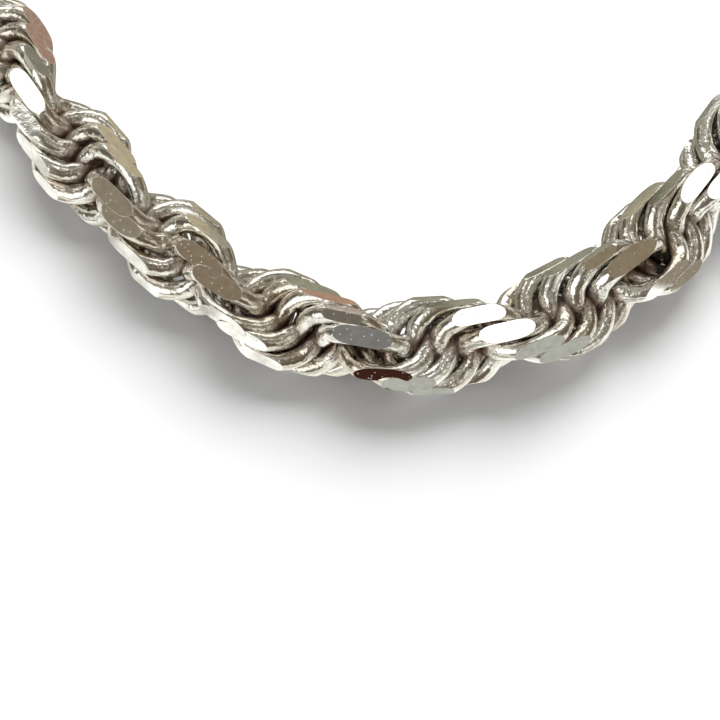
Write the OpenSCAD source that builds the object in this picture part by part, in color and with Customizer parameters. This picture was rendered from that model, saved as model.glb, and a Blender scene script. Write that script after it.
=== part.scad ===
// Rope chain necklace, laid flat as a closed loop.
// Millimetres. X runs across the loop, Y from its front bend to its clasp, Z up.
// The origin is the middle of the loop, on the surface that it lies on.

/* [Rope] */
// Width of the rope across its flats
rope_w = 5; // [4:0.25:5.5]

/* [End caps] */
// Wall of the cap round the rope's end
cap_wall = 0.3; // [0.2:0.05:0.5]
// Length of the cap's straight barrel
cap_len = 5; // [4.5:0.25:8]
// Depth of the socket that holds the rope's end
socket_depth = 4.2; // [3:0.1:4.4]
// Radius of the cap's domed end
dome_r = 3.6; // [3.5:0.1:6]
// Width of the raised lip at the cap's mouth
lip_w = 0.8; // [0.4:0.1:1.5]
// Height of the lip over the barrel
lip_h = 0.1; // [0.05:0.05:0.3]
// Inside width of the cap's eye
eye_in = 2.2; // [1.8:0.1:3]
// Thickness of the eye's wire
eye_wire = 1; // [0.7:0.05:1.2]
// Depth to which the eye is soldered into the dome
eye_sink = 0.85; // [0.6:0.05:0.95]

/* [Jump rings] */
// Inside width of a jump ring
ring_in = 4; // [3.9:0.1:5]
// Thickness of a jump ring's wire
ring_wire = 1; // [0.8:0.05:1.1]

/* [Clasp] */
// Length of the clasp from claw to tab
clasp_len = 14.7; // [13:0.1:18]
// Width of the claw
claw_w = 8; // [7:0.1:10]
// Width of the bar round the claw's opening
claw_wall = 1.3; // [1:0.05:1.5]
// Width of the bar outside the tab's hole
tab_wall = 0.9; // [0.7:0.05:1.2]
// Thickness of the clasp's rim
rim_t = 1.4; // [1:0.1:1.6]
// Thickness of the clasp at its domed middle
clasp_t = 4; // [3.6:0.1:4.4]
// Width of the narrow end of the claw's opening
throat_w = 2.8; // [2:0.1:3.4]
// Width of the solid bridge between the claw's opening and the tab's hole
bridge_w = 1.9; // [1.5:0.1:3]

/* [Fit] */
// Gap between wires that hook into each other
seat_gap = 0.15; // [0.1:0.05:0.25]
// Gap between the rope and its socket
rope_gap = 0.2; // [0.15:0.05:0.3]

/* [Hidden] */
$fn = 48;

silver = "gainsboro";
fitting_silver = "silver";

// The rope's route, from the right end cap round the front bend to the left one.
// The smooth curve is drawn by these hand-chosen points [x, y].
ROUTE = [
    [32.5, 95], [42.5, 91], [51, 83], [57, 70.5], [59.5, 54], [59, 36.5], [56, 19],
    [51.5, 1.5], [46, -15.5], [40.5, -32], [34.5, -48.5], [28.5, -63.5], [23, -76.5],
    [17.5, -85.5], [13, -92], [7, -96.5], [0.5, -98], [-6.5, -96.5], [-12, -92],
    [-18, -85.5], [-23.5, -75.5], [-29, -62.5], [-34.5, -48], [-40.5, -32], [-46, -15.5],
    [-51.5, 1.5], [-56, 19], [-59, 36.5], [-59.5, 54], [-57, 70.5], [-51, 83],
    [-42.5, 91], [-32.5, 95]
];
// The straight line at the back, on which the caps, rings and clasp lie
back_y = 96;
// Straight lead of the rope behind each cap
lead = 9;

// Heights over the surface
rope_z = rope_w / 2;
socket_r = rope_z + rope_gap;
cap_r = socket_r + cap_wall;
lip_r = cap_r + lip_h;
cap_z = lip_r;
ring_in_r = ring_in / 2;
ring_out_r = ring_in_r + ring_wire;
ring_z = ring_out_r;
clasp_z = clasp_t / 2;

// Places along the back line, worked outwards from the clasp's middle.
// grip is how far a ring's centre stands outside the bar that it is hooked round.
rim_drop = ring_z - (clasp_z - rim_t / 2);
grip = sqrt(pow(ring_in_r, 2) - pow(rim_drop, 2)) - seat_gap;
ring_left_x = -(clasp_len / 2 - claw_wall + grip);
ring_right_x = clasp_len / 2 - tab_wall + grip;
eye_offset = ring_in_r - seat_gap + eye_in / 2;
tip_offset = eye_offset + eye_in / 2 + eye_wire - eye_sink;
dome_h = dome_r - sqrt(pow(dome_r, 2) - pow(cap_r, 2));
rope_offset = tip_offset + dome_h + cap_len - socket_depth + rope_gap;

// The tube that stands for the rope: sides, and rings for each step of the route
sides = 12;
rings_per_step = 2;
tube_r = rope_z / cos(180 / sides);

route_right = [
    [ring_right_x + rope_offset, back_y],
    [ring_right_x + rope_offset + lead, back_y]
];
route_left = [
    [ring_left_x - rope_offset - lead, back_y],
    [ring_left_x - rope_offset, back_y]
];

function raised(points, z) = [for (p = points) [p[0], p[1], z]];

// Guide points of the route, with one more beyond each end, so that the curve ends on the end points
guide = concat(raised(route_right, cap_z), raised(ROUTE, rope_z), raised(route_left, cap_z));
last = len(guide) - 1;
guide_open = concat([2 * guide[0] - guide[1]], guide, [2 * guide[last] - guide[last - 1]]);

// Weights of four guide points in a smooth cubic curve, and of its slope
function curve_weights(t) = [
    pow(1 - t, 3) / 6,
    (3 * pow(t, 3) - 6 * pow(t, 2) + 4) / 6,
    (-3 * pow(t, 3) + 3 * pow(t, 2) + 3 * t + 1) / 6,
    pow(t, 3) / 6
];
function slope_weights(t) = [
    -pow(1 - t, 2) / 2,
    (3 * pow(t, 2) - 4 * t) / 2,
    (-3 * pow(t, 2) + 2 * t + 1) / 2,
    pow(t, 2) / 2
];
function blended(i, w) =
    w[0] * guide_open[i] + w[1] * guide_open[i + 1] + w[2] * guide_open[i + 2] + w[3] * guide_open[i + 3];

// A step index and a share of that step, for ring k of the tube
function step_of(k) = min(floor(k / rings_per_step), last - 1);
function share_of(k) = k / rings_per_step - step_of(k);
function centre(k) = blended(step_of(k), curve_weights(share_of(k)));
function heading(k) =
    let (s = blended(step_of(k), slope_weights(share_of(k))))
    s / norm(s);

// One ring of points round the route, with a flat underneath
function ring_points(k) =
    let (
        c = centre(k),
        h = heading(k),
        side = cross(h, [0, 0, 1]) / norm(cross(h, [0, 0, 1])),
        top = cross(side, h)
    )
    [for (j = [0:sides - 1])
        let (a = 360 * (j + 0.5) / sides - 90)
        c + tube_r * (cos(a) * side + sin(a) * top)
    ];

module rope_chain() {
    rings = last * rings_per_step;
    points = [for (k = [0:rings]) each ring_points(k)];
    skin = [
        for (k = [0:rings - 1])
            for (j = [0:sides - 1])
                let (n = (j + 1) % sides, a = k * sides, b = a + sides)
                [a + j, a + n, b + n, b + j]
    ];
    start = [for (j = [sides - 1:-1:0]) j];
    finish = [for (j = [0:sides - 1]) rings * sides + j];
    color(silver)
    polyhedron(points, concat([start], skin, [finish]), convexity = 10);
}

// Half of the cap's section, from its mouth upwards, with its axis at the left
module cap_section() {
    difference() {
        union() {
            square([cap_r, cap_len]);
            square([lip_r, lip_w]);
            intersection() {
                translate([0, cap_len + dome_h - dome_r]) circle(dome_r);
                translate([0, cap_len / 2]) square([cap_r, cap_len]);
            }
        }
        translate([0, -rope_gap]) square([socket_r, socket_depth + rope_gap]);
    }
}

// A cap whose eye is centred on the origin and whose mouth faces along -X
module end_cap() {
    eye_r = (eye_in + eye_wire) / 2;
    tip = -(eye_in / 2 + eye_wire - eye_sink);
    translate([tip - dome_h - cap_len, 0, 0]) rotate([0, 90, 0]) rotate_extrude() cap_section();
    rotate_extrude() translate([eye_r, 0]) circle(eye_wire / 2);
}

module end_cap_left() {
    color(fitting_silver)
    translate([ring_left_x - eye_offset, back_y, cap_z])
    end_cap();
}

module end_cap_right() {
    color(fitting_silver)
    translate([ring_right_x + eye_offset, back_y, cap_z])
    rotate([0, 0, 180])
    end_cap();
}

// A jump ring standing on its rim, in the plane of X and Z
module jump_ring(x) {
    color(fitting_silver)
    translate([x, back_y, ring_z])
    rotate([90, 0, 0])
    rotate_extrude()
    translate([ring_in_r + ring_wire / 2, 0])
    circle(ring_wire / 2);
}

module jump_ring_left() {
    jump_ring(ring_left_x);
}

module jump_ring_right() {
    jump_ring(ring_right_x);
}

// A drop-shaped outline: a large circle, a small one and the straight sides between them
module drop_outline(big_x, big_r, small_x, small_r) {
    translate([big_x, 0]) circle(big_r);
    translate([small_x, 0]) circle(small_r);
    polygon([[big_x, big_r], [small_x, small_r], [small_x, -small_r], [big_x, -big_r]]);
}

module clasp() {
    half = clasp_len / 2;
    claw_r = claw_w / 2;
    hole_r = (ring_out_r - grip + seat_gap) / 2;
    tab_r = hole_r + tab_wall;
    tab_x = half - tab_r;
    claw_x = -half + claw_r;
    throat_r = throat_w / 2;
    throat_x = tab_x - hole_r - bridge_w - throat_r;
    // The dome over the middle is a slice of a ball, as wide as the claw
    dome_rise = (clasp_t - rim_t) / 2;
    ball_r = (pow(claw_r, 2) + pow(dome_rise, 2)) / (2 * dome_rise);
    color(fitting_silver)
    translate([0, back_y, clasp_z])
    difference() {
        union() {
            translate([0, 0, -rim_t / 2]) linear_extrude(rim_t) drop_outline(claw_x, claw_r, tab_x, tab_r);
            intersection() {
                translate([0, 0, -clasp_t / 2]) linear_extrude(clasp_t) drop_outline(claw_x, claw_r, tab_x, tab_r);
                translate([0, 0, clasp_t / 2 - ball_r]) sphere(ball_r);
                translate([0, 0, ball_r - clasp_t / 2]) sphere(ball_r);
            }
        }
        translate([0, 0, -clasp_t])
            linear_extrude(2 * clasp_t)
            drop_outline(claw_x, claw_r - claw_wall, throat_x, throat_r);
        translate([tab_x, 0, -clasp_t]) cylinder(r = hole_r, h = 2 * clasp_t);
    }
}

rope_chain();
end_cap_left();
end_cap_right();
jump_ring_left();
jump_ring_right();
clasp();
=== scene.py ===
import math
import random

import bmesh
import bpy
import numpy as np
from mathutils import Matrix, Vector


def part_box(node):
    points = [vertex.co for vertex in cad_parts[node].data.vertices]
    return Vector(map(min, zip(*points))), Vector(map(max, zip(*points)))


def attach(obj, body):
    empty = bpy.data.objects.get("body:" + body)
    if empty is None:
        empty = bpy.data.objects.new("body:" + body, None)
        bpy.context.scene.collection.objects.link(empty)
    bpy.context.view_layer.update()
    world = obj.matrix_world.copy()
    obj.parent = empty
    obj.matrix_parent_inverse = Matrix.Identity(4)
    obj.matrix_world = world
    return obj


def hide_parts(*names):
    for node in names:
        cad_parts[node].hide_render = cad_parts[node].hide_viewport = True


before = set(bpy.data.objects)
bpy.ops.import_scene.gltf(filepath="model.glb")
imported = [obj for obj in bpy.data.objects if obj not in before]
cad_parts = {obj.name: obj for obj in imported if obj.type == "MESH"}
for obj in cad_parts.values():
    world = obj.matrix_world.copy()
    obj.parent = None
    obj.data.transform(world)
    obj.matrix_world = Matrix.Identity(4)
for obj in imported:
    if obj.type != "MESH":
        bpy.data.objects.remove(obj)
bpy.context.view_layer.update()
print("frame loaded:", sorted(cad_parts))

scene = bpy.context.scene


# Shot

shot = {
    "elevation": math.radians(60),  # above the table
    "target": (-0.0024, -0.09832, 0.0025),  # the front bend, at the height of the rope's middle
    "distance": 0.300,
    "fieldWidth": 0.03711,  # width of the picture at the target
    "sensor": 36.0,
}


def makeCamera():
    data = bpy.data.cameras.new("shotCamera")
    data.sensor_width = shot["sensor"]
    data.lens = shot["sensor"] * shot["distance"] / shot["fieldWidth"]
    data.clip_start = 0.01
    data.clip_end = 20.0
    camera = bpy.data.objects.new("shotCamera", data)
    scene.collection.objects.link(camera)
    back = Vector((0, -math.cos(shot["elevation"]), math.sin(shot["elevation"])))
    camera.location = Vector(shot["target"]) + back * shot["distance"]
    camera.rotation_euler = (-back).to_track_quat("-Z", "Y").to_euler()
    scene.camera = camera


makeCamera()
print("camera placed")


# Route of the rope, in metres, from the right end cap round the front bend to the left one

route = {
    "height": 0.00256,  # so that the lowest wires lie on the table
    "lead": 0.009,  # straight stretch behind each cap
    "held": 0.004,  # how far the rope goes into a cap
    "samplesPerStep": 40,
    "points": [
        (0.0325, 0.095), (0.0425, 0.091), (0.051, 0.083), (0.057, 0.0705), (0.0595, 0.054),
        (0.059, 0.0365), (0.056, 0.019), (0.0515, 0.0015), (0.046, -0.0155), (0.0405, -0.032),
        (0.0345, -0.0485), (0.0285, -0.0635), (0.023, -0.0765), (0.0175, -0.0855),
        (0.013, -0.092), (0.007, -0.0965), (0.0005, -0.098), (-0.0065, -0.0965),
        (-0.012, -0.092), (-0.018, -0.0855), (-0.0235, -0.0755), (-0.029, -0.0625),
        (-0.0345, -0.048), (-0.0405, -0.032), (-0.046, -0.0155), (-0.0515, 0.0015),
        (-0.056, 0.019), (-0.059, 0.0365), (-0.0595, 0.054), (-0.057, 0.0705),
        (-0.051, 0.083), (-0.0425, 0.091), (-0.0325, 0.095),
    ],
}


def routeGuide():
    rightLow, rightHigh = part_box("end_cap_right")
    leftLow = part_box("end_cap_left")[0]
    backY = (rightLow.y + rightHigh.y) / 2
    capZ = (rightLow.z + rightHigh.z) / 2
    rightEnd = rightHigh.x - route["held"]
    leftEnd = leftLow.x + route["held"]
    guide = [(rightEnd, backY, capZ), (rightEnd + route["lead"], backY, capZ)]
    guide += [(x, y, route["height"]) for x, y in route["points"]]
    guide += [(leftEnd - route["lead"], backY, capZ), (leftEnd, backY, capZ)]
    guide = [Vector(p) for p in guide]
    return [guide[0] * 2 - guide[1]] + guide + [guide[-1] * 2 - guide[-2]]


def sampleRoute():
    # smooth cubic curve through the guide, and the length along it
    guide = routeGuide()
    dots = []
    for i in range(len(guide) - 3):
        for n in range(route["samplesPerStep"]):
            t = n / route["samplesPerStep"]
            weights = (
                (1 - t) ** 3 / 6,
                (3 * t**3 - 6 * t**2 + 4) / 6,
                (-3 * t**3 + 3 * t**2 + 3 * t + 1) / 6,
                t**3 / 6,
            )
            dots.append(sum((guide[i + m] * weights[m] for m in range(4)), Vector()))
    dots.append(guide[-2].copy())
    along = [0.0]
    for a, b in zip(dots, dots[1:]):
        along.append(along[-1] + (b - a).length)
    return np.array([tuple(d) for d in dots]), np.array(along)


routeDots, routeAlong = sampleRoute()
routeLength = float(routeAlong[-1])
print("route length", round(routeLength, 5))


def dotAt(along):
    return Vector([float(np.interp(along, routeAlong, routeDots[:, i])) for i in range(3)])


def placeAt(along, reach=0.0006):
    # the point on the route, its outward side and its top, and its heading
    heading = (dotAt(along + reach) - dotAt(along - reach)).normalized()
    outward = Vector((0, 0, 1)).cross(heading).normalized()
    top = heading.cross(outward)
    return dotAt(along), outward, top, heading


# Rings of the rope. Each one holds the rope's axis in its plane, and the next is turned on a little

ring = {
    "radius": 0.0022,  # of the wire's middle line
    "wire": 0.00102,
    "endWidth": 0.00150,  # of the wire where it crosses the rope's axis
    "endThickness": 0.00100,
    "pressedFrom": 0.75,  # share of the radius, measured along the rope, past which it is pressed
    "pressedTo": 0.98,  # and past which it is pressed fully
    "firstAlong": 0.0026,  # how near to an end of the route a ring's middle may lie
    "flats": 6,
    "flatReach": 0.002215,  # from the rope's axis to a planed flat
    "edge": 0.000035,  # rounding of a flat's edge
    "looseTurn": math.radians(2.2),  # spread of a ring's turn about the rope
    "looseTilt": math.radians(1.2),  # of its flats' angle
    "looseAngle": math.radians(1.6),  # of its lean off the rope's axis
    "looseShift": 0.00003,  # and of its place
    "closeUpY": -0.077,  # nearer than this, rings are made finer
    "fine": (84, 24),  # steps round the ring, and sides of its wire
    "plain": (36, 12),
    "seed": 41,
}

# Where a strand crosses the top of the rope, and places between, with the flats' angle in degrees

crossings = {
    "halfTurns": (  # of the rope, counted along it
        -1.86, -1.36, -0.9, -0.42, 0.02, 0.5, 1.03, 1.6, 2,
        2.5, 3, 3.56, 4.02, 4.56, 5, 5.5, 6,
    ),
    "ring": (  # its number
        -11, -8, -5, -2.5, 0, 3.25, 6.5, 9.25, 12,
        15.75, 19.5, 22.25, 25, 28, 31, 34, 37,
    ),
    "along": (  # in metres from the right end of the rope
        0.2144, 0.2181, 0.2217, 0.2246, 0.2274, 0.2314, 0.2354, 0.2388, 0.2419,
        0.2462, 0.2502, 0.2538, 0.2571, 0.2610, 0.2649, 0.2687, 0.2724,
    ),
    "flatAngle": (
        70, 70, 70, 72, 74, 73, 72, 69.5, 67,
        67.5, 68, 69, 70, 70.5, 71, 70.5, 70,
    ),
}

# Rings placed one by one in the close-up, most of them slipped: turn and tilt in degrees, shift in
# metres

slipped = {
    -5: (0, 0, 0),
    -4: (-7, 2, 0),
    -3: (-14, -2, 0),
    -2: (-22, 3, 0),
    -1: (-30, 0, 0),
    0: (0, 0, 0),
    6: (0, 0, 0),
    7: (0, 0, 0),
    8: (-5, 1, 0),
    9: (-11, -2, 0),
    10: (-17, 8, 0),
    11: (-26, 0, 0),
    12: (0, 0, 0),
    13: (0, -5, 0),
    14: (0, 3, 0),
    19: (8, 0, 0),
    20: (-8, 0, 0.0003),
    25: (-8, 0, 0),
    26: (4, 0, 0),
    27: (-10, 0, 0),
    28: (-6, 0, 0),
    31: (0, 0, 0),
    32: (0, -6, 0),
    33: (0, 0, 0),
    34: (-12, 0, 0),
}


def onCrossings(number, column):
    # straight between the crossings, and on at the same rate beyond them
    numbers, values = crossings["ring"], crossings[column]
    i = max(0, min(len(numbers) - 2, int(np.searchsorted(numbers, number)) - 1))
    share = (number - numbers[i]) / (numbers[i + 1] - numbers[i])
    return values[i] + (values[i + 1] - values[i]) * share


def ringSpan():
    # numbers of the first and the last ring that fit on the route
    numbers, places = crossings["ring"], crossings["along"]
    firstPitch = (places[1] - places[0]) / (numbers[1] - numbers[0])
    lastPitch = (places[-1] - places[-2]) / (numbers[-1] - numbers[-2])
    first = math.ceil(numbers[0] - (places[0] - ring["firstAlong"]) / firstPitch)
    final = math.floor(numbers[-1] + (routeLength - ring["firstAlong"] - places[-1]) / lastPitch)
    return range(first, final + 1)


def smoothStep(low, high, value):
    t = min(1.0, max(0.0, (value - low) / (high - low)))
    return t * t * (3 - 2 * t)


def bareRing(steps, sides):
    # a closed ring in its own frame: x and z in its plane, with z along the rope
    bm = bmesh.new()
    place = bm.verts.layers.float_vector.new("ringPlace")
    rows = []
    for i in range(steps):
        f = 2 * math.pi * i / steps - math.pi / 2
        out = Vector((math.cos(f), 0, math.sin(f)))
        pressed = smoothStep(ring["pressedFrom"], ring["pressedTo"], abs(math.sin(f)))
        half = (ring["wire"] * (1 - pressed) + ring["endThickness"] * pressed) / 2
        halfWidth = (ring["wire"] * (1 - pressed) + ring["endWidth"] * pressed) / 2
        row = []
        for j in range(sides):
            q = 2 * math.pi * (j + 0.5) / sides
            spot = out * (ring["radius"] + half * math.cos(q))
            spot.y = halfWidth * math.sin(q)
            vert = bm.verts.new(spot)
            vert[place] = (ring["radius"] * 2 * math.pi * i / steps, spot.y, half * math.cos(q))
            row.append(vert)
        rows.append(row)
    for i in range(steps):
        for j in range(sides):
            a, b = rows[i], rows[(i + 1) % steps]
            n = (j + 1) % sides
            bm.faces.new((a[j], b[j], b[n], a[n]))
    return bm


def planeFlats(bm, twist, flatAngle, bevel):
    # cuts the ring back to each flat that it reaches, and rounds the flats' edges a little
    for m in range(ring["flats"]):
        angle = flatAngle + m * 2 * math.pi / ring["flats"] - twist
        if ring["radius"] * abs(math.cos(angle)) + ring["wire"] / 2 <= ring["flatReach"]:
            continue
        out = Vector((math.cos(angle), math.sin(angle), 0))
        cut = bmesh.ops.bisect_plane(
            bm,
            geom=bm.verts[:] + bm.edges[:] + bm.faces[:],
            dist=1e-8,
            plane_co=out * ring["flatReach"],
            plane_no=out,
            clear_outer=True,
        )
        rim = [g for g in cut["geom_cut"] if isinstance(g, bmesh.types.BMEdge)]
        if len(rim) < 3:
            continue
        filled = bmesh.ops.edgenet_fill(bm, edges=rim)
        for face in filled["faces"]:
            face.material_index = 1
            face.smooth = False
    if not bevel:
        return
    rims = [edge for edge in bm.edges if any(f.material_index == 1 for f in edge.link_faces)]
    bmesh.ops.bevel(
        bm,
        geom=rims,
        offset=ring["edge"],
        offset_type="OFFSET",
        segments=2,
        profile=0.5,
        affect="EDGES",
        clamp_overlap=True,
        material=2,
    )


def makeRing(along, twist, flatAngle, fine, rng):
    # a ring planed flat and set where it lies on the rope, a little loose
    bm = bareRing(*(ring["fine"] if fine else ring["plain"]))
    for face in bm.faces:
        face.smooth = True
    loose = Matrix.Translation([rng.gauss(0, ring["looseShift"]) for _ in range(3)])
    loose = loose @ Matrix.Rotation(rng.gauss(0, ring["looseAngle"]), 4, "X")
    bm.transform(loose)
    planeFlats(bm, twist, flatAngle, fine)
    spot, outward, top, heading = placeAt(along)
    side = outward * math.cos(twist) + top * math.sin(twist)
    normal = heading.cross(side)
    bm.transform(Matrix.Translation(spot) @ Matrix((side, normal, heading)).transposed().to_4x4())
    return bm, heading


def markRing(bm, number, spot, heading):
    # each point knows its ring, and how deep it lies: 0 at a flat, 1 at the rope's middle
    depth = bm.verts.layers.float.new("ropeDepth")
    ringNumber = bm.verts.layers.float.new("ringNumber")
    for vert in bm.verts:
        away = vert.co - spot
        reach = (away - heading * away.dot(heading)).length
        vert[depth] = 1 - reach / ring["flatReach"]
        vert[ringNumber] = number


def joinRings(name, rings):
    # one object from many separate rings
    bm = bmesh.new()
    for mesh in rings:
        bm.from_mesh(mesh)
        bpy.data.meshes.remove(mesh)
    mesh = bpy.data.meshes.new(name)
    bm.to_mesh(mesh)
    bm.free()
    piece = bpy.data.objects.new(name, mesh)
    scene.collection.objects.link(piece)
    return piece


def makeRope():
    groups = {"ropeRight": [], "ropeFrontRight": [], "ropeFrontLeft": [], "ropeLeft": []}
    numbers = ringSpan()
    for k in numbers:
        rng = random.Random(1000 * ring["seed"] + k)
        along = onCrossings(k, "along")
        flatAngle = math.radians(np.interp(along, crossings["along"], crossings["flatAngle"]))
        twist = flatAngle + math.pi * onCrossings(k, "halfTurns")
        if k in slipped:
            turn, tilt, shift = slipped[k]
            along += shift
            twist += math.radians(turn)
            flatAngle += math.radians(tilt)
        else:
            twist += rng.gauss(0, ring["looseTurn"])
            flatAngle += rng.gauss(0, ring["looseTilt"])
        spot = dotAt(along)
        closeUp = spot.y < ring["closeUpY"]
        group = "rope" + ("Front" if closeUp else "") + ("Right" if spot.x > 0 else "Left")
        bm, heading = makeRing(along, twist, flatAngle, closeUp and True, rng)
        markRing(bm, k, spot, heading)
        mesh = bpy.data.meshes.new("ringPart")
        bm.to_mesh(mesh)
        bm.free()
        groups[group].append(mesh)
    print("rings made:", len(numbers))
    return {name: joinRings(name, rings) for name, rings in groups.items()}


ropePieces = makeRope()
for name, piece in ropePieces.items():
    triangles = sum(len(face.vertices) - 2 for face in piece.data.polygons)
    print(name, "faces", len(piece.data.polygons), "triangles", triangles)


# Node helpers

def addNode(tree, kind, values=None, **settings):
    node = tree.nodes.new(kind)
    for key, value in settings.items():
        setattr(node, key, value)
    for key, value in (values or {}).items():
        node.inputs[key].default_value = value
    return node


def addRange(tree, source, low, high, first=0.0, final=1.0, smooth=False):
    # a value from low to high brought to one from first to final
    values = {"From Min": low, "From Max": high, "To Min": first, "To Max": final}
    node = addNode(tree, "ShaderNodeMapRange", values)
    if smooth:
        node.interpolation_type = "SMOOTHSTEP"
    tree.links.new(source, node.inputs["Value"])
    return node.outputs["Result"]


def addMath(tree, operation, first, second, clamped=False):
    node = addNode(tree, "ShaderNodeMath", operation=operation, use_clamp=clamped)
    for socket, value in zip(node.inputs, (first, second)):
        if isinstance(value, bpy.types.NodeSocket):
            tree.links.new(value, socket)
        else:
            socket.default_value = value
    return node.outputs["Value"]


def addMix(tree, factor, first, second):
    # a colour mix whose two sides and factor are sockets or plain values
    node = addNode(tree, "ShaderNodeMix", data_type="RGBA")
    for key, value in (("Factor", factor), ("A", first), ("B", second)):
        if isinstance(value, bpy.types.NodeSocket):
            tree.links.new(value, node.inputs[key])
        else:
            node.inputs[key].default_value = value
    return node.outputs["Result"]


def newGroup(name, inputs, outputs):
    group = bpy.data.node_groups.new(name, "ShaderNodeTree")
    for label, kind, value in inputs:
        socket = group.interface.new_socket(label, in_out="INPUT", socket_type=kind)
        if value is not None:
            socket.default_value = value
    for label, kind in outputs:
        group.interface.new_socket(label, in_out="OUTPUT", socket_type=kind)
    start = group.nodes.new("NodeGroupInput")
    end = group.nodes.new("NodeGroupOutput")
    return group, start, end


# Fine marks of wear: short scratches and pits

wear = {
    "emptyCells": 0.72,  # share of the pattern's cells that hold no pit
    "pitEdge": (0.06, 0.22),  # from a pit's floor to its rim, in cells
    "grain": {"Detail": 3.0, "Roughness": 0.6, "Distortion": 0.6},
    "cloudEdge": (0.45, 0.75),  # values of the grain between which the polish dulls
    "cloudDull": 0.5,  # and by how much
}


def makeMarks():
    group, start, end = newGroup(
        "wearMarks",
        [
            ("Vector", "NodeSocketVector", None),
            ("Pit Scale", "NodeSocketFloat", 4000.0),
            ("Pit Amount", "NodeSocketFloat", 0.5),
            ("Scratch Scale", "NodeSocketFloat", 2500.0),
            ("Scratch Amount", "NodeSocketFloat", 0.5),
        ],
        [("Height", "NodeSocketFloat"), ("Dull", "NodeSocketFloat")],
    )
    link = group.links.new
    vector = start.outputs["Vector"]
    pits = addNode(group, "ShaderNodeTexVoronoi", {"Randomness": 1.0})
    link(vector, pits.inputs["Vector"])
    link(start.outputs["Pit Scale"], pits.inputs["Scale"])
    split = addNode(group, "ShaderNodeSeparateColor")
    link(pits.outputs["Color"], split.inputs["Color"])
    few = addMath(group, "GREATER_THAN", split.outputs["Red"], wear["emptyCells"])
    hollow = addRange(group, pits.outputs["Distance"], *wear["pitEdge"], 1.0, 0.0)
    pit = addMath(group, "MULTIPLY", hollow, few)
    pit = addMath(group, "MULTIPLY", pit, start.outputs["Pit Amount"])
    grain = addNode(group, "ShaderNodeTexNoise", wear["grain"])
    link(vector, grain.inputs["Vector"])
    link(start.outputs["Scratch Scale"], grain.inputs["Scale"])
    scratch = addMath(group, "MULTIPLY", grain.outputs["Fac"], start.outputs["Scratch Amount"])
    link(addMath(group, "SUBTRACT", scratch, pit), end.inputs["Height"])
    cloud = addRange(group, grain.outputs["Fac"], *wear["cloudEdge"], 0.0, wear["cloudDull"])
    link(addMath(group, "ADD", pit, cloud, clamped=True), end.inputs["Dull"])
    return group


# Silver that is warmer in patches, and darker with depth: tarnish in the hollows, and painted shade
# between the strands

tarnishAndShade = {
    "patchNoise": {"Detail": 2.0, "Roughness": 0.5},
    "patchEdge": (0.35, 0.7),  # values of the noise between which it turns warm
    "darkEdge": (0.36, 0.76),  # depths between which it turns dark with tarnish and painted shade
}


def makeTarnishAndShade():
    group, start, end = newGroup(
        "silverToneAndShade",
        [
            ("Vector", "NodeSocketVector", None),
            ("Depth", "NodeSocketFloat", 0.0),
            ("Bright", "NodeSocketColor", (0.9, 0.9, 0.9, 1)),
            ("Warm", "NodeSocketColor", (0.8, 0.75, 0.65, 1)),
            ("Dark", "NodeSocketColor", (0.1, 0.08, 0.06, 1)),
            ("Patch Scale", "NodeSocketFloat", 600.0),
        ],
        [("Color", "NodeSocketColor"), ("Mask", "NodeSocketFloat")],
    )
    link = group.links.new
    patches = addNode(group, "ShaderNodeTexNoise", tarnishAndShade["patchNoise"])
    link(start.outputs["Vector"], patches.inputs["Vector"])
    link(start.outputs["Patch Scale"], patches.inputs["Scale"])
    warmth = addRange(group, patches.outputs["Fac"], *tarnishAndShade["patchEdge"])
    clean = addMix(group, warmth, start.outputs["Bright"], start.outputs["Warm"])
    # tarnish and painted shade: darker the deeper a point lies in the rope
    deep = addRange(group, start.outputs["Depth"], *tarnishAndShade["darkEdge"], smooth=True)
    link(addMix(group, deep, clean, start.outputs["Dark"]), end.inputs["Color"])
    link(deep, end.inputs["Mask"])
    return group


wearMarks = makeMarks()
silverToneAndShade = makeTarnishAndShade()


# Materials. A finish gives its roughness where the polish is clean, and where it is dull

def newMaterial(name):
    material = bpy.data.materials.new(name)
    material.use_nodes = True
    tree = material.node_tree
    shader = tree.nodes["Principled BSDF"]
    shader.inputs["Metallic"].default_value = 1.0
    return material, tree, shader


def useGroup(tree, group, values):
    node = tree.nodes.new("ShaderNodeGroup")
    node.node_tree = group
    for key, value in values.items():
        node.inputs[key].default_value = value
    return node


def addTone(tree, shader, finish, coord, depth=0.0):
    # the metal's colour, darker where depth, a socket or a plain value, says so: tarnish and painted
    # shade
    tone = useGroup(tree, silverToneAndShade, {
        "Bright": finish["bright"],
        "Warm": finish["warm"],
        "Dark": finish["dark"],
        "Patch Scale": finish["patchScale"],
    })
    tree.links.new(coord.outputs["Object"], tone.inputs["Vector"])
    if isinstance(depth, bpy.types.NodeSocket):
        tree.links.new(depth, tone.inputs["Depth"])
    else:
        tone.inputs["Depth"].default_value = depth
    tree.links.new(tone.outputs["Color"], shader.inputs["Base Color"])
    return tone


def addWear(tree, shader, finish, coord, normal=None):
    # pits and scratches over what normal has made already, and the roughness
    marks = useGroup(tree, wearMarks, finish["marks"])
    tree.links.new(coord.outputs["Object"], marks.inputs["Vector"])
    bump = addNode(tree, "ShaderNodeBump", finish["bump"])
    tree.links.new(marks.outputs["Height"], bump.inputs["Height"])
    if normal is not None:
        tree.links.new(normal, bump.inputs["Normal"])
    tree.links.new(bump.outputs["Normal"], shader.inputs["Normal"])
    rough = addRange(tree, marks.outputs["Dull"], 0.0, 1.0, *finish["roughness"])
    tree.links.new(rough, shader.inputs["Roughness"])


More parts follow.
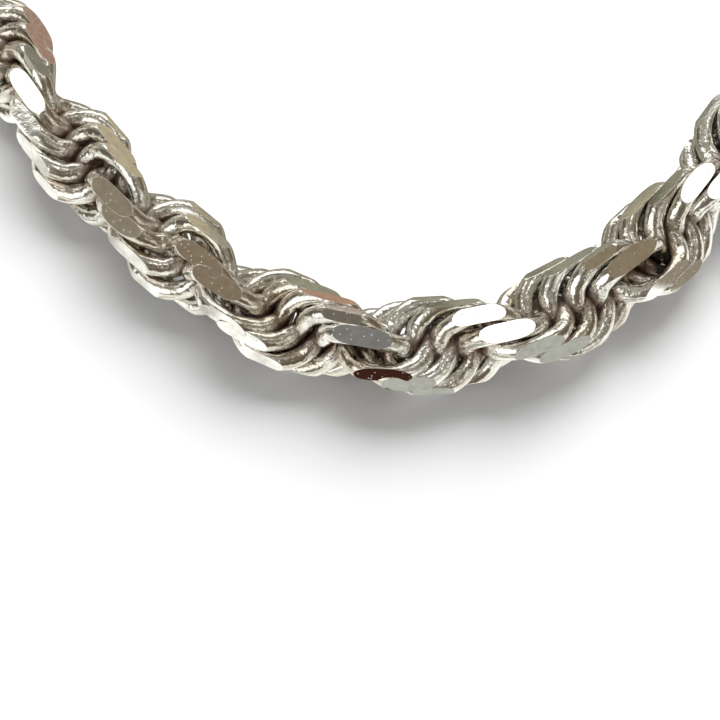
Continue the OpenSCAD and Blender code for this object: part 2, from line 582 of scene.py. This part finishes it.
wireFinish = {
    "bright": (0.95, 0.94, 0.91, 1),
    "warm": (0.68, 0.62, 0.53, 1),
    # dark: tarnish and painted shade between the strands
    "dark": (0.24, 0.15, 0.09, 1),
    "lineScale": (120.0, 4200.0, 4200.0),  # drawn lines run along the wire
    "lineBump": {"Strength": 0.12, "Distance": 0.00003},
    "lines": {"Scale": 1.0, "Detail": 2.0, "Roughness": 0.5},
    "dents": {"Scale": 1800.0, "Detail": 2.5, "Roughness": 0.55},
    "dentEdge": (0.15, 0.65),  # depths between which dents grow deeper
    "dentDepth": (0.00007, 0.00017),  # at the outside, and deep between the strands
    "roughness": (0.13, 0.32),
    "metallic": (1.0, 0.65),  # clean, and under the grime and painted shade between the wires
    "patchScale": 420.0,
    "marks": {"Pit Scale": 5200.0, "Pit Amount": 0.25, "Scratch Scale": 3000.0, "Scratch Amount": 0.3},
    "bump": {"Strength": 0.35, "Distance": 0.00002},
}


def makeWireMaterial():
    material, tree, shader = newMaterial("polishedWire")
    link = tree.links.new
    coord = addNode(tree, "ShaderNodeTexCoord")
    depth = addNode(tree, "ShaderNodeAttribute", attribute_name="ropeDepth").outputs["Fac"]
    place = addNode(tree, "ShaderNodeAttribute", attribute_name="ringPlace").outputs["Vector"]
    number = addNode(tree, "ShaderNodeAttribute", attribute_name="ringNumber").outputs["Fac"]
    tone = addTone(tree, shader, wireFinish, coord, depth)
    metal = addRange(tree, tone.outputs["Mask"], 0.0, 1.0, *wireFinish["metallic"])
    link(metal, shader.inputs["Metallic"])
    # dents, deeper between the strands
    dents = addNode(tree, "ShaderNodeTexNoise", wireFinish["dents"], noise_dimensions="4D")
    link(coord.outputs["Object"], dents.inputs["Vector"])
    link(number, dents.inputs["W"])
    dentBump = addNode(tree, "ShaderNodeBump", {"Strength": 1.0})
    dentDepth = addRange(tree, depth, *wireFinish["dentEdge"], *wireFinish["dentDepth"])
    link(dentDepth, dentBump.inputs["Distance"])
    link(dents.outputs["Fac"], dentBump.inputs["Height"])
    # drawn lines, different on each ring
    stretch = addNode(tree, "ShaderNodeVectorMath", operation="MULTIPLY")
    stretch.inputs[1].default_value = wireFinish["lineScale"]
    link(place, stretch.inputs[0])
    lines = addNode(tree, "ShaderNodeTexNoise", wireFinish["lines"], noise_dimensions="4D")
    link(stretch.outputs["Vector"], lines.inputs["Vector"])
    link(number, lines.inputs["W"])
    lineBump = addNode(tree, "ShaderNodeBump", wireFinish["lineBump"])
    link(lines.outputs["Fac"], lineBump.inputs["Height"])
    link(dentBump.outputs["Normal"], lineBump.inputs["Normal"])
    addWear(tree, shader, wireFinish, coord, lineBump.outputs["Normal"])
    return material


flatFinish = {
    "bright": (0.95, 0.94, 0.92, 1),
    "warm": (0.82, 0.80, 0.74, 1),
    "dark": (0.5, 0.46, 0.4, 1),
    "roughness": (0.03, 0.16),
    "patchScale": 2200.0,
    "marks": {"Pit Scale": 5600.0, "Pit Amount": 1.0, "Scratch Scale": 2200.0, "Scratch Amount": 0.12},
    "bump": {"Strength": 0.8, "Distance": 0.00003},
}


def makeFlatMaterial():
    material, tree, shader = newMaterial("planedFlat")
    coord = addNode(tree, "ShaderNodeTexCoord")
    addTone(tree, shader, flatFinish, coord)
    addWear(tree, shader, flatFinish, coord)
    return material


# Rounded rims of the flats with a painted highlight: pale and only partly metallic, so bright from
# most sides
edgeFinishAndHighlight = {
    "bright": (0.98, 0.95, 0.86, 1),
    "warm": (0.90, 0.86, 0.74, 1),
    "dark": (0.3, 0.27, 0.22, 1),
    "metallic": 0.35,  # the burnished rim, partly dull and pale: a painted highlight that shows from most sides
    "roughness": (0.2, 0.4),
    "patchScale": 900.0,
    "marks": {"Pit Scale": 6000.0, "Pit Amount": 0.5, "Scratch Scale": 4000.0, "Scratch Amount": 0.6},
    "bump": {"Strength": 0.4, "Distance": 0.00002},
}


def makeEdgeMaterial():
    material, tree, shader = newMaterial("burnishedEdgeHighlight")
    shader.inputs["Metallic"].default_value = edgeFinishAndHighlight["metallic"]
    coord = addNode(tree, "ShaderNodeTexCoord")
    depth = addNode(tree, "ShaderNodeAttribute", attribute_name="ropeDepth").outputs["Fac"]
    addTone(tree, shader, edgeFinishAndHighlight, coord, depth)
    addWear(tree, shader, edgeFinishAndHighlight, coord)
    return material


fittingFinish = {
    "bright": (0.92, 0.91, 0.89, 1),
    "warm": (0.86, 0.84, 0.79, 1),
    "dark": (0.3, 0.27, 0.22, 1),
    "roughness": (0.08, 0.3),
    "patchScale": 260.0,
    "depth": 0.1,
    "marks": {"Pit Scale": 2600.0, "Pit Amount": 0.4, "Scratch Scale": 1500.0, "Scratch Amount": 0.5},
    "bump": {"Strength": 0.25, "Distance": 0.00003},
}


def makeFittingMaterial():
    material, tree, shader = newMaterial("polishedFitting")
    coord = addNode(tree, "ShaderNodeTexCoord")
    addTone(tree, shader, fittingFinish, coord, fittingFinish["depth"])
    addWear(tree, shader, fittingFinish, coord)
    return material


wireMaterial = makeWireMaterial()
flatMaterial = makeFlatMaterial()
edgeMaterial = makeEdgeMaterial()
fittingMaterial = makeFittingMaterial()
for piece in ropePieces.values():
    for material in (wireMaterial, flatMaterial, edgeMaterial):
        piece.data.materials.append(material)
for node in ("end_cap_left", "end_cap_right", "jump_ring_left", "jump_ring_right", "clasp"):
    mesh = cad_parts[node].data
    mesh.materials.clear()
    mesh.materials.append(fittingMaterial)
print("materials assigned")


# Table, room and lamps

def addRamp(tree, source, stops):
    # colours along a value, from a list of its values and their colours
    low, high = stops[0][0], stops[-1][0]
    ramp = addNode(tree, "ShaderNodeValToRGB")
    elements = ramp.color_ramp.elements
    while len(elements) < len(stops):
        elements.new(0.5)
    for element, (x, color) in zip(elements, stops):
        element.position = (x - low) / (high - low)
        element.color = tuple(color) + (1,)
    tree.links.new(addRange(tree, source, low, high), ramp.inputs["Fac"])
    return ramp.outputs["Color"]


# The table is plain and pale. What the metal mirrors of it is a painted reflection: a glow in the warm
# tones of a room around it, darker close to the rope

table = {
    "size": 8.0,
    "color": (0.86, 0.86, 0.86, 1),
    "roughness": 0.9,
    "specular": 0.1,
    "middle": (-0.002, -0.078, 0.0),  # of the front bend
    "inside": (0.27, 0.26, 0.20, 1),  # inwards of the bend
    "bendEdge": (0.0175, 0.0187),
    "outside": [  # outwards from the bend's middle
        (0.0178, (0.30, 0.29, 0.25)),
        (0.0190, (0.65, 0.66, 0.62)),
        (0.0202, (0.98, 0.99, 0.96)),
        (0.032, (1.05, 1.05, 1.02)),
        (0.048, (0.75, 0.74, 0.69)),
        (0.080, (0.30, 0.29, 0.24)),
    ],
    "cloudNoise": {"Scale": 330.0, "Detail": 2.0, "Roughness": 0.5},
    "clouds": [
        (0.36, (0.58, 0.56, 0.52)),
        (0.47, (0.93, 0.92, 0.89)),
        (0.56, (1.20, 1.20, 1.18)),
    ],
    # patches: painted reflections, spots that only mirrored rays see
    "patches": [  # place, inner and outer radius, colour
        ((-0.0022, -0.0834), 0.0014, 0.0026, (0.43, 0.27, 0.19, 1)),
        ((-0.0038, -0.0607), 0.0040, 0.0065, (0.48, 0.41, 0.28, 1)),
        ((0.0045, -0.0380), 0.0080, 0.0150, (0.36, 0.23, 0.17, 1)),
        ((0.0100, -0.0800), 0.0030, 0.0060, (0.29, 0.28, 0.22, 1)),
        ((-0.0090, -0.0800), 0.0030, 0.0060, (0.42, 0.42, 0.36, 1)),
        ((0.0008, -0.1033), 0.0030, 0.0036, (0.47, 0.48, 0.44, 1)),
        ((-0.0019, -0.1028), 0.0017, 0.0019, (0.050, 0.018, 0.012, 1)),
        ((0.0106, -0.1008), 0.0028, 0.0040, (0.45, 0.46, 0.42, 1)),
        ((0.0190, -0.0945), 0.0018, 0.0026, (0.30, 0.26, 0.20, 1)),
        ((-0.0212, -0.0905), 0.0016, 0.0026, (0.36, 0.34, 0.26, 1)),
    ],
}


def makeTable():
    mesh = bpy.data.meshes.new("tableTop")
    half = table["size"] / 2
    corners = [(-half, -half, 0), (half, -half, 0), (half, half, 0), (-half, half, 0)]
    mesh.from_pydata(corners, [], [(0, 1, 2, 3)])
    top = bpy.data.objects.new("tableTop", mesh)
    scene.collection.objects.link(top)
    material = bpy.data.materials.new("paleTable")
    material.use_nodes = True
    tree = material.node_tree
    link = tree.links.new
    shader = tree.nodes["Principled BSDF"]
    shader.inputs["Roughness"].default_value = table["roughness"]
    shader.inputs["Specular IOR Level"].default_value = table["specular"]
    shader.inputs["Base Color"].default_value = table["color"]
    coord = addNode(tree, "ShaderNodeTexCoord")
    away = addNode(tree, "ShaderNodeVectorMath", {1: table["middle"]}, operation="DISTANCE")
    link(coord.outputs["Object"], away.inputs[0])
    reach = away.outputs["Value"]
    outside = addRamp(tree, reach, table["outside"])
    beyondBend = addRange(tree, reach, *table["bendEdge"], smooth=True)
    color = addMix(tree, beyondBend, table["inside"], outside)
    noise = addNode(tree, "ShaderNodeTexNoise", table["cloudNoise"])
    link(coord.outputs["Object"], noise.inputs["Vector"])
    shade = addNode(tree, "ShaderNodeMix", {"Factor": 1.0}, data_type="RGBA", blend_type="MULTIPLY")
    link(color, shade.inputs["A"])
    link(addRamp(tree, noise.outputs["Fac"], table["clouds"]), shade.inputs["B"])
    color = shade.outputs["Result"]
    for place, inner, outer, tint in table["patches"]:
        apart = addNode(tree, "ShaderNodeVectorMath", {1: (*place, 0)}, operation="DISTANCE")
        link(coord.outputs["Object"], apart.inputs[0])
        clear = addRange(tree, apart.outputs["Value"], inner, outer, smooth=True)
        color = addMix(tree, clear, tint, color)
    # the painted reflection: these colours glow for mirrored rays
    mirrored = addNode(tree, "ShaderNodeEmission")
    link(color, mirrored.inputs["Color"])
    # mirrored rays alone see that look, and not those that met a dull surface before
    rays = addNode(tree, "ShaderNodeLightPath")
    direct = addMath(tree, "LESS_THAN", rays.outputs["Diffuse Depth"], 0.5)
    mix = addNode(tree, "ShaderNodeMixShader")
    link(addMath(tree, "MULTIPLY", rays.outputs["Is Glossy Ray"], direct), mix.inputs["Fac"])
    link(shader.outputs["BSDF"], mix.inputs[1])
    link(mirrored.outputs["Emission"], mix.inputs[2])
    link(mix.outputs["Shader"], tree.nodes["Material Output"].inputs["Surface"])
    mesh.materials.append(material)


# Mirrored rays alone see the room's patches. It lights all else evenly, and its backdrop is white

room = {
    "low": (0.20, 0.185, 0.15, 1),
    "high": (0.32, 0.305, 0.25, 1),
    "rise": (0.10, 0.75),  # heights between which low turns into high
    "cloudNoise": {"Scale": 3.2, "Detail": 3.0, "Roughness": 0.55},
    "cloudShare": 0.75,  # how much of the room's look is clouds
    "clouds": [
        (0.36, (0.17, 0.145, 0.11)),
        (0.45, (0.25, 0.235, 0.19)),
        (0.54, (0.40, 0.385, 0.33)),
        (0.61, (0.66, 0.65, 0.58)),
    ],
    "patches": [  # direction, inner and outer edge in degrees, colour
        ((-1.0, 0.1, 0.25), 16, 30, (0.13, 0.11, 0.085, 1)),
        ((1.0, 0.2, 0.30), 17, 31, (0.17, 0.13, 0.09, 1)),
        ((0.2, -1.0, 0.25), 18, 32, (0.15, 0.12, 0.09, 1)),
        ((-0.08, 0.48, 0.87), 8, 13, (0.11, 0.09, 0.07, 1)),
        ((0.02, 0.74, 0.67), 13, 18, (1.5, 1.5, 1.45, 1)),
        ((0.10, -0.55, 0.83), 8, 14, (0.13, 0.10, 0.075, 1)),
        ((-0.35, 0.85, 0.45), 13, 19, (1.6, 1.6, 1.55, 1)),
        ((0.45, 0.80, 0.55), 10, 15, (1.5, 1.5, 1.45, 1)),
        ((0.49, 0.87, 0.08), 5, 7, (0.24, 0.22, 0.18, 1)),
        ((-0.72, -0.54, 0.42), 22, 28, (1.5, 1.5, 1.45, 1)),
        ((0.75, -0.65, 0.45), 10, 15, (0.85, 0.83, 0.76, 1)),
        ((-0.545, 0.30, 0.79), 5.5, 6.5, (1.7, 1.7, 1.65, 1)),
        ((-0.510, 0.12, 0.85), 3.5, 4.2, (0.27, 0.23, 0.17, 1)),
        ((-0.460, -0.05, 0.885), 4.5, 6.0, (0.24, 0.19, 0.13, 1)),
        ((-0.100, -0.26, 0.96), 6.0, 7.5, (0.21, 0.21, 0.20, 1)),
        ((-0.200, -0.42, 0.885), 4.0, 5.0, (0.17, 0.15, 0.12, 1)),
        ((0.220, -0.06, 0.975), 5.5, 6.5, (1.8, 1.8, 1.8, 1)),
        ((0.395, 0.14, 0.91), 4.0, 5.0, (0.26, 0.21, 0.14, 1)),
        ((0.560, 0.20, 0.80), 4.5, 5.5, (1.7, 1.7, 1.65, 1)),
    ],
    "soft": (0.45, 0.45, 0.45, 1),  # its even light
    "backdrop": (1.0, 1.0, 1.0, 1),
}


def makeRoom():
    world = bpy.data.worlds.new("softRoom")
    scene.world = world
    world.use_nodes = True
    tree = world.node_tree
    link = tree.links.new
    coord = addNode(tree, "ShaderNodeTexCoord")
    direction = coord.outputs["Generated"]
    parts = addNode(tree, "ShaderNodeSeparateXYZ")
    link(direction, parts.inputs["Vector"])
    rise = addRange(tree, parts.outputs["Z"], *room["rise"], smooth=True)
    seen = addMix(tree, rise, room["low"], room["high"])
    noise = addNode(tree, "ShaderNodeTexNoise", room["cloudNoise"])
    link(direction, noise.inputs["Vector"])
    clouds = addRamp(tree, noise.outputs["Fac"], room["clouds"])
    seen = addMix(tree, room["cloudShare"], seen, clouds)
    for toward, inner, outer, color in room["patches"]:
        middle = Vector(toward).normalized()
        facing = addNode(tree, "ShaderNodeVectorMath", {1: middle}, operation="DOT_PRODUCT")
        link(direction, facing.inputs[0])
        edges = (math.cos(math.radians(outer)), math.cos(math.radians(inner)))
        within = addRange(tree, facing.outputs["Value"], *edges, smooth=True)
        seen = addMix(tree, within, seen, color)
    rays = addNode(tree, "ShaderNodeLightPath")
    color = addMix(tree, rays.outputs["Is Glossy Ray"], room["soft"], seen)
    indirect = addMath(tree, "GREATER_THAN", rays.outputs["Diffuse Depth"], 0.5)
    color = addMix(tree, indirect, color, room["soft"])
    color = addMix(tree, rays.outputs["Is Camera Ray"], color, room["backdrop"])
    link(color, tree.nodes["Background"].inputs["Color"])


lamps = {
    "key": {"from": (0.18, 1.06, 1.02), "size": 1.4, "power": 36.5},
    "aim": (0.0, -0.098, 0.0),
}


def makeLamp(name, spec):
    data = bpy.data.lights.new(name, "AREA")
    data.size = spec["size"]
    data.energy = spec["power"]
    lamp = bpy.data.objects.new(name, data)
    scene.collection.objects.link(lamp)
    aim = Vector(lamps["aim"])
    lamp.location = Vector(spec["from"]) + aim
    lamp.rotation_euler = (aim - lamp.location).to_track_quat("-Z", "Y").to_euler()
    lamp.visible_camera = False
    lamp.visible_glossy = False


makeTable()
makeRoom()
makeLamp("keyLamp", lamps["key"])
scene.view_settings.view_transform = "Standard"
print("table, room and lamps ready")


# The rope's pieces go on the root body, in place of the frame's rope

for name, piece in ropePieces.items():
    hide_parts("rope_chain")
    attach(piece, "root")
